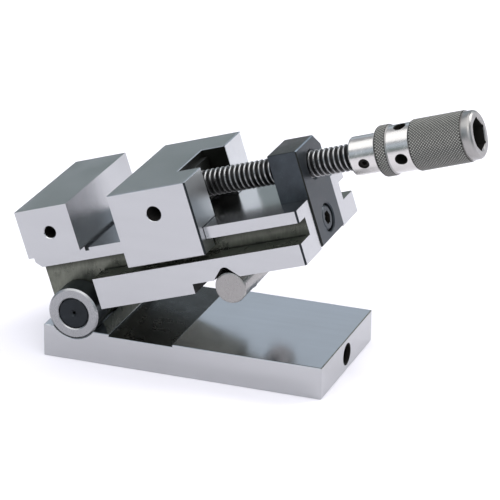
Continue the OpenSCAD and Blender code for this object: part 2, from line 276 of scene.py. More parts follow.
def paint(piece, finish_name, test):
    """Gives a second finish to the faces whose middle and normal pass the test."""
    look, held = material(finish_name), piece.data.materials
    if look.name not in held:
        held.append(look)
    piece.active_material_index = held.find(look.name)
    edit(piece, "FACE")
    mesh = bmesh.from_edit_mesh(piece.data)
    for face in mesh.faces:
        face.select_set(bool(test(face.calc_center_median() / MM, face.normal)))
    bmesh.update_edit_mesh(piece.data)
    bpy.ops.object.material_slot_assign()
    bpy.ops.mesh.select_mode(type="VERT")
    bpy.ops.object.mode_set(mode="OBJECT")


def on_corner(middle, normal):
    """The bevels on the upright corners at the screw's end: dark scale on the body and the jaw,
    painted shade on the nut block.
    """
    return normal.x > 0.3 and abs(normal.y) > 0.3


def soften_block(piece, corner):
    """Bevels the ground edges, with a wider flat on the chosen corners."""
    soften(piece, sizes().edge, where=lambda middle: not corner(middle))
    soften(piece, sizes().corner, 1, corner)


def finish(piece, look, body, nodes, place=None, smooth=SMOOTH):
    """Places a piece, shades it, gives it its finish and lets it ride on its body."""
    if place is not None:
        move(piece, place)
    choose(piece)
    bpy.ops.object.shade_smooth_by_angle(angle=math.radians(smooth))
    for index, held in enumerate(piece.data.materials):
        if held is None or held == material("blank"):
            piece.data.materials[index] = look
    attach(piece, body)
    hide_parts(*nodes)
    return piece


def drill(radius, depth, flare):
    """A cutter for a plain hole along X from its mouth at 0, with a chamfered rim."""
    rim = radius + flare
    return hollow(turned("drill", [
        (-1, 0), (-1, rim), (0, rim), (flare, radius), (depth, radius),
        (depth + radius * 0.5, 0)], 64), flare)


def tap(radius, crest, pitch, depth, flare=0.15):
    """A cutter for a tapped hole along X from its mouth at 0."""
    rim = radius + flare
    outline = [(-1, 0), (-1, rim), (0, rim), (flare, radius)]
    x = flare + pitch
    while x + pitch < depth:
        outline += [(x, radius), (x + pitch * 0.4, crest), (x + pitch * 0.55, crest),
                    (x + pitch * 0.95, radius)]
        x += pitch
    outline += [(depth, radius), (depth + radius * 0.5, 0)]
    return hollow(turned("tap", outline, 48), flare)


def hex_key_hole(flats, depth):
    """A cutter for a hexagon socket along X from its mouth at 0, with a flat up."""
    clear()
    bpy.ops.mesh.primitive_cylinder_add(
        vertices=6, radius=flats / math.sqrt(3) * MM, depth=(depth + 1) * MM)
    piece = hollow(bpy.context.object)
    return move(piece, Matrix.Translation(Vector(((depth - 1) / 2, 0, 0)) * MM)
                @ Matrix.Rotation(math.pi / 2, 4, "Y"))


def cap_screw(name, size, length):
    """A socket-head screw along X: head before 0, thread after it."""
    thread, head, tall, flats, pitch = size
    c = head * 0.045
    r = thread / 2
    outline = [(-tall, 0), (-tall, head / 2 - c * 2), (-tall + c, head / 2 - c * 0.6),
               (-tall + c * 2, head / 2), (-c, head / 2), (0, head / 2 - c), (0, r)]
    x = pitch
    while x + pitch < length - 0.3:
        outline += [(x, r), (x + pitch * 0.45, r - pitch * 0.5), (x + pitch * 0.9, r)]
        x += pitch
    outline += [(length - 0.3, r), (length, r - 0.3), (length, 0)]
    piece = turned(name, outline, 48)
    return combine(piece, move(hex_key_hole(flats, tall / 2), at(-tall, 0, 0)))


def screw_pair(name, size, length, places):
    """Two socket screws, placed and joined into one object."""
    first = cap_screw(name, size, length)
    pair = [first, copy_of(first, name)]
    for piece, place in zip(pair, places):
        move(piece, place)
    return merge_pieces(name, pair)


def screw_seat(size, start, seat, end):
    """A cutter along X with room for a socket screw's head, then for its thread."""
    thread, head = size[:2]
    wide, narrow = head / 2 + HEAD_ROOM, thread / 2 + FITTED
    return turned("seat", [(start, 0), (start, wide), (seat, wide), (seat, narrow),
                           (end, narrow), (end, 0)], 48)


# --- finishes
class Value:
    """A number in a node tree. Python's operators on it add Math nodes."""

    def __init__(self, shader, socket):
        self.shader = shader
        self.socket = socket

    def math(self, operation, *values):
        return self.shader.node("ShaderNodeMath", {"operation": operation}, dict(enumerate(values)))

    def __add__(self, other):
        return self.math("ADD", self, other)

    def __sub__(self, other):
        return self.math("SUBTRACT", self, other)

    def __rsub__(self, other):
        return self.math("SUBTRACT", other, self)

    def __mul__(self, other):
        return self.math("MULTIPLY", self, other)

    def __pow__(self, other):
        return self.math("POWER", self, other)

    __radd__ = __add__
    __rmul__ = __mul__


class Shader:
    """A node material with one Principled shader."""

    def __init__(self, name, **constants):
        self.material = bpy.data.materials.new(name)
        self.material.use_nodes = True
        self.tree = self.material.node_tree
        self.tree.nodes.clear()
        out = self.tree.nodes.new("ShaderNodeOutputMaterial")
        self.main = self.tree.nodes.new("ShaderNodeBsdfPrincipled")
        self.tree.links.new(self.main.outputs[0], out.inputs[0])
        self.feed(self.main, constants)

    def feed(self, node, values):
        for key, value in values.items():
            if isinstance(value, Value):
                self.tree.links.new(value.socket, node.inputs[key])
            else:
                node.inputs[key].default_value = value

    def node(self, kind, settings=None, values=None, output=0):
        node = self.tree.nodes.new(kind)
        for key, value in (settings or {}).items():
            setattr(node, key, value)
        self.feed(node, values or {})
        return Value(self, node.outputs[output])

    def set(self, **sockets):
        self.feed(self.main, {key.replace("_", " "): value for key, value in sockets.items()})
        return self.material

    def place(self, turn=(0, 0, 0), scale=(1, 1, 1), centre=(0, 0, 0)):
        """Object coordinates in metres, shifted, then turned and scaled."""
        spot = self.node("ShaderNodeTexCoord", output=3)
        spot = self.node("ShaderNodeVectorMath", {"operation": "SUBTRACT"}, {0: spot, 1: centre})
        return self.node("ShaderNodeMapping", None, {0: spot, "Rotation": turn, "Scale": scale})

    def noise(self, vector, scale, detail=3.0, rough=0.5):
        return self.node("ShaderNodeTexNoise", None, {
            "Vector": vector, "Scale": scale, "Detail": detail, "Roughness": rough})

    def steps(self, value, low, high, out_low=0.0, out_high=1.0):
        return self.node("ShaderNodeMapRange", None, {
            0: value, 1: low, 2: high, 3: out_low, 4: out_high})

    def blend(self, factor, a, b):
        return self.node("ShaderNodeMix", {"data_type": "RGBA"}, {0: factor, 6: (*a, 1) if
                         isinstance(a, tuple) else a, 7: (*b, 1) if isinstance(b, tuple) else b}, 2)

    def bump(self, height, strength, distance):
        return self.node("ShaderNodeBump", None, {
            "Strength": strength, "Distance": distance, "Height": height})


def shade(colour, factor):
    """A lighter or darker colour."""
    return tuple(min(1.0, c * factor) for c in colour[:3])


def ground_finish(name, colour, tilt, rough):
    """Surface-ground steel: fine lines along the bed, faint stains and cloudy polish."""
    shader = Shader(name, Metallic=1.0)
    level = shader.place((0, tilt, 0))
    lines = shader.noise(shader.place((0, tilt, 0), (90, 5200, 5200)), 1.0, 4.0, 0.6)
    bands = shader.noise(shader.place((0, tilt, 0), (14, 420, 420)), 1.0, 2.0)
    cloud = shader.noise(level, 70, 3.0)
    spots = shader.steps(shader.noise(level, 900, 2.0), 0.7, 0.8)
    tone = shader.steps(bands, 0.3, 0.7, 0.0, 0.5) + shader.steps(cloud, 0.3, 0.7, 0.0, 0.5)
    metal = shader.blend(tone, shade(colour, 0.97), shade(colour, 1.03))
    metal = shader.blend(spots * 0.2, metal, shade(colour, 0.6))
    return shader.set(
        Base_Color=metal,
        Roughness=rough + shader.steps(lines, 0.3, 0.7, -0.02, 0.04)
        + shader.steps(cloud, 0.35, 0.7, -0.02, 0.04),
        Normal=shader.bump(lines, 0.08, 0.00001))


def polished_finish(name, colour, rough=0.12, turn=(0, 0, 0), centre=(0, 0, 0)):
    """Turned and polished steel, with rings about its axis and faint handling marks."""
    shader = Shader(name, Metallic=1.0)
    rings = shader.noise(shader.place(turn, (3600, 60, 60), centre), 1.0, 3.0)
    marks = shader.noise(shader.place(turn, (260, 260, 260), centre), 1.0, 4.0, 0.65)
    metal = shader.blend(shader.steps(marks, 0.35, 0.7), shade(colour, 0.94), shade(colour, 1.03))
    return shader.set(
        Base_Color=metal,
        Roughness=rough + shader.steps(marks, 0.4, 0.75, -0.03, 0.08)
        + shader.steps(rings, 0.3, 0.7, -0.02, 0.03),
        Normal=shader.bump(rings, 0.1, 0.00002))


def black_finish(name, colour, tilt=0.0):
    """Black oxide on ground steel: dark satin, uneven, with a few lighter worn spots."""
    shader = Shader(name, Metallic=0.75)
    lines = shader.noise(shader.place((0, tilt, 0), (90, 4200, 4200)), 1.0, 3.0)
    cloud = shader.noise(shader.place(), 160, 4.0, 0.6)
    rubbed_and_highlight = shader.steps(shader.noise(shader.place(), 650, 5.0, 0.7), 0.6, 0.8)
    metal = shader.blend(shader.steps(cloud, 0.3, 0.7), shade(colour, 0.75), shade(colour, 1.3))
    metal = shader.blend(rubbed_and_highlight * 0.35, metal, shade(colour, 3.2))
    return shader.set(
        Base_Color=metal,
        Roughness=0.36 + shader.steps(cloud, 0.3, 0.7, -0.05, 0.08) - 0.08 * rubbed_and_highlight,
        Normal=shader.bump(lines, 0.15, 0.00003))


def milled_finish(name, colour, tilt=0.0):
    """Milled steel in the recesses, with cutter marks and stains; its dark colour is partly painted
    shade, and painted shade darkens it further towards the flange's underside.
    """
    shader = Shader(name, Metallic=0.9)
    marks = shader.noise(shader.place((0, tilt, 0), (1500, 260, 260)), 1.0, 3.0)
    cloud = shader.noise(shader.place(), 190, 4.0, 0.6)
    metal = shader.blend(shader.steps(cloud, 0.3, 0.7), shade(colour, 0.7), shade(colour, 1.35))
    metal = shader.blend(shader.steps(marks, 0.45, 0.7) * 0.4, metal, shade(colour, 1.6))
    # Painted shade: darker towards the flange's underside, where the flange overhangs the web.
    up = shader.node("ShaderNodeSeparateXYZ", None, {
        0: shader.place((0, tilt, 0), (1 / MM,) * 3, HINGE)}, 2)
    shade_under_flange = shader.steps(up, FLANGE_UNDER - 3.6, FLANGE_UNDER - 1.6)
    metal = shader.blend(shade_under_flange * 0.8, metal, shade(colour, 0.15))
    return shader.set(
        Base_Color=metal,
        Roughness=0.28 + shader.steps(cloud, 0.3, 0.7, -0.06, 0.1),
        Normal=shader.bump(marks, 0.25, 0.00003))


def hole_shade_finish(name, colour):
    """Painted shade for the inside of a hole: near black, with a little oil."""
    shader = Shader(name, Metallic=0.0, **{"Specular IOR Level": 0.15})
    film = shader.noise(shader.place(), 800, 3.0)
    return shader.set(
        Base_Color=shader.blend(film, shade(colour, 0.6), shade(colour, 1.6)),
        Roughness=shader.steps(film, 0.3, 0.7, 0.5, 0.7))


def axis_distance(shader, centre):
    """Distance from the screw's axis, in millimetres."""
    spot = shader.place((0, TILT, 0), (1 / MM,) * 3, centre)
    across = [shader.node("ShaderNodeSeparateXYZ", None, {0: spot}, i) for i in (1, 2)]
    return (across[0] * across[0] + across[1] * across[1]) ** 0.5


def worn_and_shaded_finish(name, colour, centre, low, high, rough=0.3):
    """Knurled or threaded steel: dirt, oil and painted shade darken the valleys to near black; the
    crests are bright worn steel.
    """
    shader = Shader(name, Metallic=1.0)
    crest = shader.steps(axis_distance(shader, centre), low, high)
    grime = shader.noise(shader.place(), 420, 4.0, 0.6)
    # Dirt with painted shade: the valleys, nearer the axis than the crests, are darkened to near
    # black.
    valley_dirt_and_shade = shader.blend(shader.steps(grime, 0.3, 0.7), shade(colour, 0.05), shade(colour, 0.2))
    metal = shader.blend(crest ** 0.8, valley_dirt_and_shade, shade(colour, 1.1))
    return shader.set(
        Base_Color=metal,
        Roughness=rough + (1 - crest) * 0.25 + shader.steps(grime, 0.3, 0.7, -0.05, 0.05),
        Normal=shader.bump(grime, 0.1, 0.00003))


def floor_finish(colour):
    """Plain pale paper."""
    shader = Shader("studio_floor", Metallic=0.0)
    tooth = shader.noise(shader.place(), 900, 2.0)
    return shader.set(
        Base_Color=shader.blend(tooth * 0.1, tuple(colour), shade(colour, 0.96)), Roughness=0.85)


# --- sizes and colours
def length(label, text, default, low=0.0):
    """A size for the panel."""
    return bpy.props.FloatProperty(name=label, description=text, default=default, min=low)


def tint(label, text, default):
    """A colour for the panel."""
    return bpy.props.FloatVectorProperty(
        name=label, description=text, default=default, size=3, min=0, max=1, subtype="COLOR")


class SINEVISE_PG_sizes(bpy.types.PropertyGroup):
    """Sizes of the detail, in millimetres."""

    edge: length("Ground edge", "Bevel on the ground edges", 0.28)
    corner: length("Corner edge", "Bevel on the corners at the screw's end", 0.55)
    pitch: length("Thread pitch", "Pitch of the drive screw", 1.75, 0.5)
    thread_depth: length("Thread depth", "Depth of the drive screw's thread", 0.95, 0.1)
    knurl: length("Knurl pitch", "Distance between the diamonds of the knurl", 1.0, 0.4)
    knurl_depth: length("Knurl depth", "Height of the knurl's diamonds", 0.22)


class SINEVISE_PG_finishes(bpy.types.PropertyGroup):
    """Colours of the metals, the floor and the studio."""

    ground: tint("Ground steel", "Colour of the ground steel", (0.44, 0.445, 0.455))
    polished: tint("Polished steel", "Colour of the roller and the handle", (0.57, 0.555, 0.54))
    black: tint("Black oxide", "Colour of the blackened pieces", (0.036, 0.043, 0.05))
    knurled: tint("Knurled steel", "Colour of the knurled bands", (0.35, 0.348, 0.325))
    thread: tint("Thread", "Colour of the drive screw", (0.36, 0.36, 0.36))
    brass: tint("Brass", "Colour of the lock pad", (0.72, 0.52, 0.25))
    # The recesses' colour is kept dark partly as painted shade.
    milled: tint("Milled steel", "Colour of the recessed sides", (0.125, 0.13, 0.108))
    # Near-black painted shade inside the holes, grooves and gaps.
    hole: tint("Holes", "Colour inside the holes", (0.009, 0.008, 0.007))
    floor: tint("Floor", "Colour of the studio floor", (0.91, 0.885, 0.93))


def sizes():
    return bpy.context.scene.sinevise_sizes


def finishes():
    return bpy.context.scene.sinevise_finishes


FINISHES_MADE = {}


def material(name):
    """The finish of that name, made once."""
    if name not in FINISHES_MADE:
        colours = finishes()
        axis = BODY @ Vector((0, 0, SCREW_UP * MM))
        across = (0, 0, math.pi / 2)
        tilted = (0, TILT, 0)
        makers = {
            "blank": lambda: Shader("blank").material,
            "hole": lambda: hole_shade_finish("hole", colours.hole),
            # Near-black painted shade for the jaw's pocket, the nose plate and screws in it, and the
            # nut block's top face and upright corners.
            "pocket": lambda: black_finish("pocket", shade(colours.milled, 0.12), TILT),
            "relief_shade": lambda: milled_finish("relief_shade", shade(colours.milled, 0.14)),
            "lit_ground_end": lambda: ground_finish(
                "lit_ground_end", shade(colours.ground, 1.45), TILT, 0.36),
            "chamfer": lambda: black_finish("chamfer", shade(colours.black, 0.6), TILT),
            "milled": lambda: milled_finish("milled", colours.milled, TILT),
            "ground_level": lambda: ground_finish("ground_level", colours.ground, 0, 0.13),
            "ground_tilted": lambda: ground_finish("ground_tilted", colours.ground, TILT, 0.2),
            "polished_cross": lambda: polished_finish(
                "polished_cross", shade(colours.polished, 0.52), 0.28, across, HINGE),
            "polished_screw": lambda: polished_finish(
                "polished_screw", colours.polished, 0.2, tilted, axis),
            "cap_steel": lambda: polished_finish(
                "cap_steel", shade(colours.polished, 0.55), 0.32, tilted, axis),
            "collar_steel": lambda: polished_finish(
                "collar_steel", shade(colours.ground, 0.72), 0.26, across, HINGE),
            "black_level": lambda: black_finish("black_level", colours.black),
            "rubbed_and_highlight": lambda: black_finish("rubbed_and_highlight", shade(colours.black, 5), TILT),
            "black_pin": lambda: black_finish("black_pin", shade(colours.black, 0.4)),
            "black_tilted": lambda: black_finish("black_tilted", colours.black, TILT),
            "knurl_steel": lambda: worn_and_shaded_finish(
                "knurl_steel", colours.knurled, axis, GRIP_R - sizes().knurl_depth, GRIP_R, 0.34),
            "thread_steel": lambda: worn_and_shaded_finish(
                "thread_steel", colours.thread, axis, SCREW_R - 0.3, SCREW_R, 0.28),
            "brass": lambda: polished_finish("brass", colours.brass, 0.28, tilted),
        }
        FINISHES_MADE[name] = makers[name]()
    return FINISHES_MADE[name]


# Places read from the CAD nodes, in the body's frame, in millimetres.
BODY_LOW, BODY_HIGH = span("vise_body")
JAW_LOW, JAW_HIGH = span("moving_jaw")
BLOCK_LOW, BLOCK_HIGH = span("nut_block")
SCREW_LOW, SCREW_HIGH = span("lead_screw")
HANDLE_LOW, HANDLE_HIGH = span("handle")
ROLLER_LOW, ROLLER_HIGH = span("sine_roller")
BASE_LOW, BASE_HIGH = span("base_plate", Matrix.Identity(4))
COLLAR_LOW, COLLAR_HIGH = span("hinge_collar_front", UPRIGHT)
PIN_LOW, PIN_HIGH = span("hinge_pin", UPRIGHT)
HALF = BASE_HIGH.y
PIN_R = PIN_HIGH.z
COLLAR_R = COLLAR_HIGH.z
ROLLER_R = (ROLLER_HIGH.z - ROLLER_LOW.z) / 2
SCREW_UP = (SCREW_LOW.z + SCREW_HIGH.z) / 2
SCREW_R = (SCREW_HIGH.z - SCREW_LOW.z) / 2
TAIL_R = 3.0
GRIP_R = (HANDLE_HIGH.z - HANDLE_LOW.z) / 2
ON_SCREW = BODY @ Matrix.Translation(Vector((0, 0, SCREW_UP)) * MM)


def arc(centre, radius, start, end, steps):
    """Points on an arc, from one angle to another in degrees."""
    turns = [math.radians(start + (end - start) * i / steps) for i in range(steps + 1)]
    return [(centre[0] + radius * math.cos(t), centre[1] + radius * math.sin(t)) for t in turns]


# --- pieces
class SINEVISE_OT_base(bpy.types.Operator):
    """Base plate with its hinge saddle, shallow relief, tapped end hole and screw seats"""

    bl_idname = "sinevise.base"
    bl_label = "Base plate"

    def execute(self, context):
        low, high = BASE_LOW, BASE_HIGH
        hinge = (HINGE.x / MM, HINGE.z / MM)
        saddle_r = COLLAR_R + FITTED
        drop = hinge[1] - high.z
        reach = math.degrees(math.asin(drop / saddle_r))
        start, end, floor = low.x + 23, low.x + 45, high.z - 0.8
        outline = [(low.x, 0), (high.x, 0), (high.x, high.z), (end, high.z),
                   (end, floor), (start, floor), (start, high.z)]
        outline += arc(hinge, saddle_r, -reach, -180 + reach, 28)
        outline += [(low.x, high.z)]
        plate = prism("ground_base", outline, low.y, high.y)
        soften(plate, sizes().edge)
        # Painted shade: the shallow relief's floor, under the tilted body, is painted near black.
        paint(plate, "relief_shade", lambda middle, normal: start < middle.x < end
              and abs(middle.z - floor) < 0.1)
        paint(plate, "milled", lambda middle, normal: normal.x > 0.3 and normal.z > 0.3
              and middle.x > high.x - 1)
        # Painted shade: the tapped end hole, its chamfer included, is painted near black.
        end_hole = tap(3.5, 4.0, 1.25, 16, 0.25)
        paint(end_hole, "hole", lambda middle, normal: True)
        combine(plate, move(end_hole, at(high.x, 0, high.z / 2, "-X")))
        y = HALF - (COLLAR_HIGH.y - COLLAR_LOW.y) / 2
        for side in (-1, 1):
            bore = screw_seat(M4, -1, COLLAR_SCREW_SEAT, high.z + 2)
            combine(plate, move(bore, at(hinge[0], side * y, 0, "Z")))
        finish(plate, material("ground_level"), "base", ["base_plate"])
        return {"FINISHED"}


class SINEVISE_OT_hinge(bpy.types.Operator):
    """Hinge pin, the two collars that carry it and their screws"""

    bl_idname = "sinevise.hinge"
    bl_label = "Hinge"

    def execute(self, context):
        inner, outer, c = PIN_R + FITTED, COLLAR_R, 0.55
        h = (COLLAR_HIGH.y - COLLAR_LOW.y) / 2
        ring = turned("hinge_ring_front", [
            (-h, inner + c * 0.6), (-h, outer - c), (-h + c, outer), (h - c, outer),
            (h, outer - c), (h, inner + c * 0.6), (h - c * 0.6, inner), (-h + c * 0.6, inner),
            (-h, inner + c * 0.6)], 128)
        # Painted reflection: the collar's outer cylinder takes the black oxide finish for the dark
        # surroundings it mirrors.
        paint(ring, "black_level", lambda middle, normal: abs(normal.x) < 0.1
              and middle.yz.length > inner + 1)
        drop = COLLAR_R + HINGE.z / MM
        shank = rod("shank", M4[0] / 2 + FITTED, 0, drop)
        combine(ring, move(shank, at(0, 0, -drop, "Z")))
        y = HALF - h
        rear = copy_of(ring, "hinge_ring_rear")
        for piece, side, node in ((ring, -1, "front"), (rear, 1, "rear")):
            finish(piece, material("collar_steel"), "base",
                   [f"hinge_collar_{node}"], UPRIGHT @ at(0, side * y, 0, "Y"))

        low, high = PIN_LOW.y, PIN_HIGH.y
        c, centre_r, mouth_r = 0.4, 0.48, 1.2
        half = [(3, 0), (2.6, centre_r), (0.5, centre_r), (0, mouth_r), (0, PIN_R - c), (c, PIN_R)]
        pin = turned("hinge_axle", [(low + a, r) for a, r in half]
                     + [(high - a, r) for a, r in reversed(half)], 96)
        finish(pin, material("black_pin"), "base", ["hinge_pin"],
               UPRIGHT @ Matrix.Rotation(math.pi / 2, 4, "Z"))

        long = HINGE.z / MM - PIN_R - COLLAR_SCREW_SEAT - 0.4
        bolts = screw_pair("collar_bolts", M4, long, [
            at(HINGE.x / MM, side * y, COLLAR_SCREW_SEAT, "Z") for side in (-1, 1)])
        finish(bolts, material("black_level"), "base", ["collar_screws"])
        return {"FINISHED"}


class SINEVISE_OT_body(bpy.types.Operator):
    """Tilting body: plate with its step and V seat, web, bed and fixed jaw"""

    bl_idname = "sinevise.body"
    bl_label = "Tilting body"

    def execute(self, context):
        back, front, top = BODY_LOW.x, BODY_HIGH.x, BODY_HIGH.z
        seat, v = SINE_LENGTH, ROLLER_R * math.sqrt(2)
        lip, apex = 0.45, 1.2
        plate = prism("vise_frame", [
            (PLATE_START, 0), (STEP_AT, 0), (STEP_AT, STEP_UP),
            (seat - v + STEP_UP - lip, STEP_UP),
            (seat - v + STEP_UP + lip * 0.7, STEP_UP + lip * 0.9),
            *arc((seat, v - apex * math.sqrt(2)), apex, 135, 45, 10),
            (seat + v - STEP_UP - lip * 0.7, STEP_UP + lip * 0.9),
            (seat + v - STEP_UP + lip, STEP_UP),
            (front, STEP_UP), (front, PLATE_TOP), (PLATE_START, PLATE_TOP)], -HALF, HALF)
        web = prism("web", [
            (front, PLATE_TOP - 2), (front, FLANGE_UNDER + 2), (back, FLANGE_UNDER + 2),
            (back, LUG_UP), *arc((0, 0), LUG_RADIUS, 165, 300, 26), (PLATE_START + 2, 1.5),
            (PLATE_START + 2, PLATE_TOP - 2)], -WEB_HALF, WEB_HALF)
        flange = prism("flange", [
            (back, FLANGE_UNDER + 2), (back + 2, FLANGE_UNDER), (front, FLANGE_UNDER),
            (front, BED), (FIXED_FACE + FOOT_GROOVE[0], BED),
            (FIXED_FACE + FOOT_GROOVE[0], BED - FOOT_GROOVE[1]),
            (FIXED_FACE, BED - FOOT_GROOVE[1]), (FIXED_FACE, OVERHANG + 2),
            (back, OVERHANG + 2)], -FLANGE_HALF, FLANGE_HALF)
        jaw = box("fixed_jaw", (back, -HALF, OVERHANG), (FIXED_FACE, HALF, top))
        for part in (web, flange, jaw):
            combine(plate, part, "UNION")
        tidy_faces(plate)
        soften_block(plate, lambda middle: middle.x > front - 0.05 and min(
            abs(abs(middle.y) - half) for half in (HALF, FLANGE_HALF)) < 0.05)
        # Painted shade: a narrow groove along the foot of the web, painted near black inside, draws
        # a dark line there.
        for side in (-1, 1):
            near, far = sorted((side * (WEB_HALF - 0.2), side * (WEB_HALF + 0.7)))
            groove = box("groove", (PLATE_START - 1, near, PLATE_TOP - 0.5),
                         (front - 1.2, far, PLATE_TOP + 0.4))
            combine(plate, hollow(groove))

        # Painted shade: shallow reliefs at both ends of the V seat, painted near black, make a dark
        # band around the roller.
        centre, wide, round_r = seat - 0.25, v + 0.5, 2.0
        reach = wide - STEP_UP + 1
        for start, end in ((-HALF - 1, -HALF + 1), (HALF - 1, HALF + 1)):
            relief = prism("relief", [
                (centre - reach, STEP_UP - 1),
                *arc((centre, wide - round_r * math.sqrt(2)), round_r, 135, 45, 10),
                (centre + reach, STEP_UP - 1)], start, end)
            combine(plate, hollow(relief))

        def recessed(middle, normal):
            side = abs(normal.y) > 0.9 and abs(middle.y) < WEB_HALF + 0.1 and middle.z < BED - 1
            ledge = normal.z > 0.9 and abs(middle.z - PLATE_TOP) < 0.1
            under = normal.z < -0.6 and middle.z < FLANGE_UNDER + 0.1
            return side or ledge or under

        def in_shade(middle, normal):
            v_seat = abs(middle.x - seat) < v and normal.z < -0.3 and STEP_UP < middle.z < v
            return v_seat or (normal.x > 0.9 and middle.z < STEP_UP)

        paint(plate, "chamfer", on_corner)
        # Partly painted shade: the recessed sides, ledge and undersides take the dark milled finish.
        paint(plate, "milled", recessed)
        paint(plate, "hole", in_shade)
        bore = rod("bore", PIN_R + RUNNING, -WEB_HALF - 1, WEB_HALF + 1, 96)
        combine(plate, move(bore, at(0, 0, 0, "Y")))
        slot_half = BLOCK_HIGH.y + FITTED
        combine(plate, box("slot", (BLOCK_LOW.x, -slot_half, 0), (front + 1, slot_half, BED + 1)))
        # Painted shade: narrow gaps beside the slot at its open end, painted near black, make a dark
        # line along the nut block's sides.
        for side in (-1, 1):
            near, far = sorted((side * (slot_half - 0.1), side * (slot_half + 0.35)))
            gap = box("gap", (front - 0.5, near, 0), (front + 1, far, BED + 1))
            combine(plate, hollow(gap))
        stop_at = FIXED_FACE - 8.6
        for side, way in ((-1, "Y"), (1, "-Y")):
            combine(plate, move(drill(2.0, 10, 0.25), at(stop_at, side * HALF, SCREW_UP, way)))
        screw = rod("screw", M5[0] / 2 + FITTED, -1, 10)
        combine(plate, move(screw, at(BLOCK_LOW.x, 0, BLOCK_SCREW_UP, "-X")))
        for side in (-1, 1):
            hole = rod("hole", M3[0] / 2 + FITTED, STEP_UP, PLATE_TOP + 5)
            combine(plate, move(hole, at(SINE_LENGTH, side * ROLLER_SCREW_AT, 0, "Z")))
        lock = rod("lock", M5[0] / 2 + FITTED, 0, 20, 48)
        turn = Matrix.Rotation(math.radians(-150), 4, "Y")
        combine(plate, move(lock, turn @ at(PIN_R - 0.5, 0, 0)))
        edit(plate)
        close_up()
        finish(plate, material("ground_tilted"), "body", ["vise_body"], BODY)
        return {"FINISHED"}


class SINEVISE_OT_roller(bpy.types.Operator):
    """Sine roller with its two screws"""

    bl_idname = "sinevise.roller"
    bl_label = "Sine roller"

    def execute(self, context):
        r, c, h = ROLLER_R, 0.55, HALF
        roller = turned("gauge_roller", [
            (-h, 0), (-h, r - c), (-h + c * 0.3, r - c * 0.3), (-h + c, r), (h - c, r),
            (h - c * 0.3, r - c * 0.3), (h, r - c), (h, 0)], 128)
        move(roller, at(0, 0, 0, "Y"))
        seat = -r + 3.2
        for side in (-1, 1):
            bore = screw_seat(M3, -r - 1, seat, r + 1)
            combine(roller, move(bore, at(0, side * ROLLER_SCREW_AT, 0, "Z")))
        finish(roller, material("polished_cross"), "body", ["sine_roller"],
               BODY @ at(SINE_LENGTH, 0, 0))
        bolts = screw_pair("roller_bolts", M3, 17, [
            at(SINE_LENGTH, side * ROLLER_SCREW_AT, seat, "Z") for side in (-1, 1)])
        finish(bolts, material("black_level"), "body", ["roller_screws"], BODY)
        return {"FINISHED"}


class SINEVISE_OT_jaw(bpy.types.Operator):
    """Sliding jaw with its lips, pocket and side holes, and the two screws of the plate that holds
    the screw
    """

    bl_idname = "sinevise.jaw"
    bl_label = "Sliding jaw"

    def execute(self, context):
        low, high = JAW_LOW, JAW_HIGH
        lip, inside = WEB_HALF + WEB_GAP, FLANGE_HALF + SLIDE_GAP
        under, bed = FLANGE_UNDER - SLIDE_GAP, BED + SLIDE_GAP
        half = [(-HALF, low.z), (-lip, low.z), (-lip, under), (-inside, under), (-inside, bed)]
        outline = half + [(-y, z) for y, z in reversed(half)] + [(HALF, high.z), (-HALF, high.z)]
        jaw = prism("sliding_jaw", outline, low.x, high.x, "X")
        plate_low, plate_high = span("nose_plate")
        face = plate_low.x
        combine(jaw, box("pocket", (face, -POCKET_HALF, BED - 2),
                         (high.x + 1, POCKET_HALF, high.z + 1)))
        tidy_faces(jaw)
        soften_block(jaw, lambda middle: middle.x > high.x - 0.05
                     and abs(abs(middle.y) - HALF) < 0.05)

        def in_pocket(middle, normal):
            wall = abs(abs(middle.y) - POCKET_HALF) < 0.05 and abs(normal.y) > 0.9
            return wall or (abs(middle.x - face) < 0.05 and abs(middle.y) < POCKET_HALF)

        paint(jaw, "chamfer", on_corner)
        # Painted shade: the pocket's walls and back are painted near black.
        paint(jaw, "pocket", in_pocket)
        # Painted light: the jaw's end face takes a lighter, rougher copy of the ground steel.
        paint(jaw, "lit_ground_end", lambda middle, normal: normal.x > 0.9
              and abs(middle.x - high.x) < 0.1)
        combine(jaw, move(rod("nose", 3.9, -8.1, 1, 64), at(face, 0, SCREW_UP)))
        middle = (low.x + high.x) / 2 + 0.5
        for side, way in ((-1, "Y"), (1, "-Y")):
            combine(jaw, move(tap(2.5, 3.0, 1.0, 10), at(middle, side * HALF, SCREW_UP, way)))
        y = plate_high.y - 2.4
        for side in (-1, 1):
            hole = rod("hole", M2[0] / 2 + FITTED, -1, 5)
            combine(jaw, move(hole, at(face, side * y, SCREW_UP, "-X")))
        finish(jaw, material("ground_tilted"), "jaw", ["moving_jaw"], BODY)

        bolts = screw_pair("plate_bolts", M2, 6.8, [
            at(plate_high.x, side * y, SCREW_UP, "-X") for side in (-1, 1)])
        # Painted shade: the plate's screws, in the pocket, are painted near black.
        finish(bolts, material("pocket"), "jaw", ["nose_plate_screws"], BODY)
        return {"FINISHED"}


